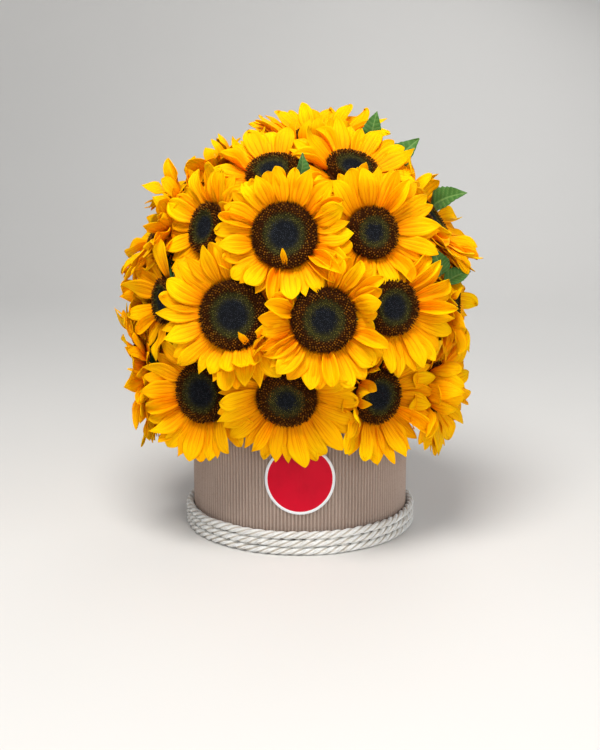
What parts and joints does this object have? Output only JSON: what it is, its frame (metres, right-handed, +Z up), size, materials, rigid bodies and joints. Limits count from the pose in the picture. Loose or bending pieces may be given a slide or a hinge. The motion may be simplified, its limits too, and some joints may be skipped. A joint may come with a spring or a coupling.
{
  "type": "sunflower bouquet in a round box",
  "caption": "Dome of yellow sunflowers with dark discs and a few leaves, standing in a round box wrapped in corrugated kraft card with cream rope wound round its foot.",
  "frame": {"origin": "centre of the underside of the box, on the surface it stands on", "axes": "+Z up through the middle of the box and the dome; -Y towards the front, where the round sticker is; +X to the right seen from the front"},
  "size_m": [0.3422, 0.3286, 0.388],
  "materials": {
    "petal": "satin",
    "disc": "matte",
    "green": "satin",
    "foam": "matte",
    "card": "matte",
    "kraft": "matte",
    "rope": "matte",
    "label": "satin"
  },
  "bodies": {
    "root": {"petals_01": "petal", "disc_01": "disc", "petals_02": "petal", "disc_02": "disc", "petals_03": "petal", "disc_03": "disc", "petals_04": "petal", "disc_04": "disc", "petals_05": "petal", "disc_05": "disc", "petals_06": "petal", "disc_06": "disc", "petals_07": "petal", "disc_07": "disc", "petals_08": "petal", "disc_08": "disc", "petals_09": "petal", "disc_09": "disc", "petals_10": "petal", "disc_10": "disc", "petals_11": "petal", "disc_11": "disc", "petals_12": "petal", "disc_12": "disc", "petals_13": "petal", "disc_13": "disc", "petals_14": "petal", "disc_14": "disc", "petals_15": "petal", "disc_15": "disc", "petals_16": "petal", "disc_16": "disc", "petals_17": "petal", "disc_17": "disc", "petals_18": "petal", "disc_18": "disc", "petals_19": "petal", "disc_19": "disc", "petals_20": "petal", "disc_20": "disc", "petals_21": "petal", "disc_21": "disc", "petals_22": "petal", "disc_22": "disc", "petals_23": "petal", "disc_23": "disc", "petals_24": "petal", "disc_24": "disc", "petals_25": "petal", "disc_25": "disc", "petals_26": "petal", "disc_26": "disc", "petals_27": "petal", "disc_27": "disc", "stems": "green", "foam": "foam", "box": "card", "wrap": "kraft", "rope": "rope", "label": "label"}
  },
  "joints": []
}
